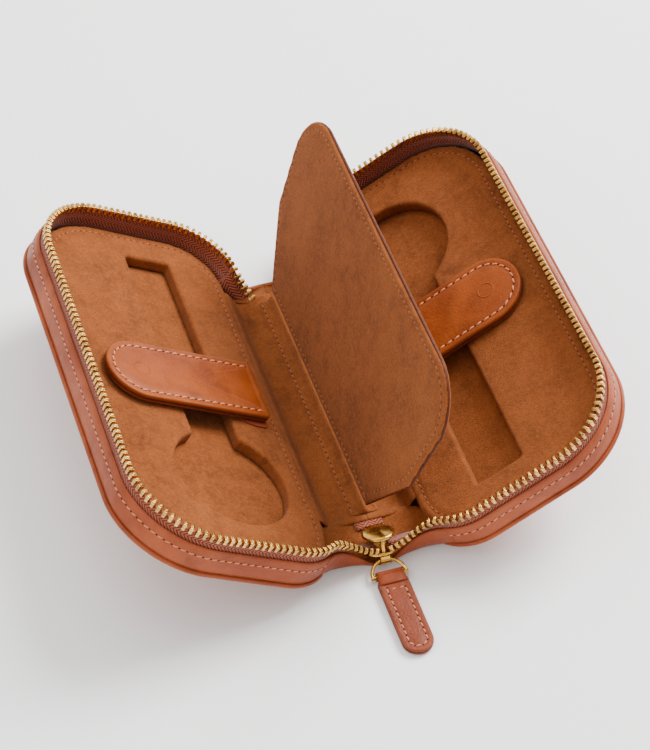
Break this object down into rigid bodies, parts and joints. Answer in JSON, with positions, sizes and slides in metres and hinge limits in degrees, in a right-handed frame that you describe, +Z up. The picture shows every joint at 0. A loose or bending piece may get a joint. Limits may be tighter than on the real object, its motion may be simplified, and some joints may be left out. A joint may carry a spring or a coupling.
{
  "type": "zip-around travel case for two watches",
  "caption": "Zip-around leather travel case that opens like a book: two padded suede trays with keyhole recesses and hold-down straps, and a divider page between them.",
  "frame": {"origin": "centre of the flat underside of the spine, which the open case stands on", "axes": "+X across the spine towards the right tray, +Y along the spine away from the zip slider, +Z up"},
  "size_m": [0.184, 0.2034, 0.0784],
  "materials": {
    "outer_leather": "smooth semi-matt tan leather",
    "inner_leather": "smooth tan leather, flesh side hidden",
    "suede": "napped suede",
    "recess_suede": "napped suede, in shade",
    "board": "grey-brown stiffener board",
    "foam": "closed-cell foam",
    "zip_tape": "herringbone woven tape",
    "brass": "antique brass, lightly worn",
    "snap_metal": "satin brass"
  },
  "bodies": {
    "spine": {"spine_leather": "outer_leather", "spine_board": "board", "spine_lining": "suede", "zip_tail": "zip_tape", "divider_flange": "suede"},
    "left_tray": {"left_back_leather": "outer_leather", "left_back_board": "board", "left_gusset": "outer_leather", "left_zip_tape": "zip_tape", "left_zip_teeth": "brass", "left_insert_board": "board", "left_recess_lining": "recess_suede", "left_insert_foam": "foam", "left_insert_suede": "suede", "left_strap_base": "inner_leather", "left_snap_stud": "snap_metal"},
    "right_tray": {"right_back_leather": "outer_leather", "right_back_board": "board", "right_gusset": "outer_leather", "right_zip_tape": "zip_tape", "right_zip_teeth": "brass", "right_insert_board": "board", "right_recess_lining": "recess_suede", "right_insert_foam": "foam", "right_insert_suede": "suede", "right_strap_base": "inner_leather", "right_snap_stud": "snap_metal"},
    "left_strap": {"left_strap_top": "outer_leather", "left_strap_lining": "inner_leather", "left_snap_socket": "snap_metal"},
    "right_strap": {"right_strap_top": "outer_leather", "right_strap_lining": "inner_leather", "right_snap_socket": "snap_metal"},
    "divider": {"divider_core": "board", "divider_front": "suede", "divider_back": "suede"},
    "slider": {"slider_body": "brass", "slider_bail": "brass"},
    "ring": {"pull_ring": "brass"},
    "tab": {"pull_tab_front": "outer_leather", "pull_tab_back": "inner_leather"}
  },
  "joints": [
    {"name": "left_fold", "type": "hinge", "parent": "spine", "child": "left_tray", "pos_m": [-0.0166, 0, 0.0018], "axis": [0, -1, 0], "range_deg": [-60, 30]},
    {"name": "right_fold", "type": "hinge", "parent": "spine", "child": "right_tray", "pos_m": [0.0166, 0, 0.0018], "axis": [0, 1, 0], "range_deg": [-60, 30]},
    {"name": "divider_turn", "type": "hinge", "parent": "spine", "child": "divider", "pos_m": [0, 0, 0.006], "axis": [0, 1, 0], "range_deg": [-19, 9.5]},
    {"name": "left_strap_fold", "type": "hinge", "parent": "left_tray", "child": "left_strap", "pos_m": [-0.02313, 0, 0.01689], "axis": [0, 1, 0], "range_deg": [0, 95]},
    {"name": "right_strap_fold", "type": "hinge", "parent": "right_tray", "child": "right_strap", "pos_m": [0.02313, 0, 0.01689], "axis": [0, -1, 0], "range_deg": [0, 50]},
    {"name": "slider_run", "type": "hinge", "parent": "spine", "child": "slider", "pos_m": [0, -0.0626, 0.0258], "axis": [1, 0, 0], "range_deg": [-66, 0]},
    {"name": "ring_swing", "type": "hinge", "parent": "slider", "child": "ring", "pos_m": [0, -0.07724, 0.00397], "axis": [-1, 0, 0], "range_deg": [-70, 85]},
    {"name": "tab_swing", "type": "hinge", "parent": "ring", "child": "tab", "pos_m": [0, -0.08293, 0.00205], "axis": [-1, 0, 0], "range_deg": [-55, 15]}
  ],
  "couplings": [
    {"joint": "divider_turn", "follows": "right_fold", "ratio": 0.31667}
  ]
}
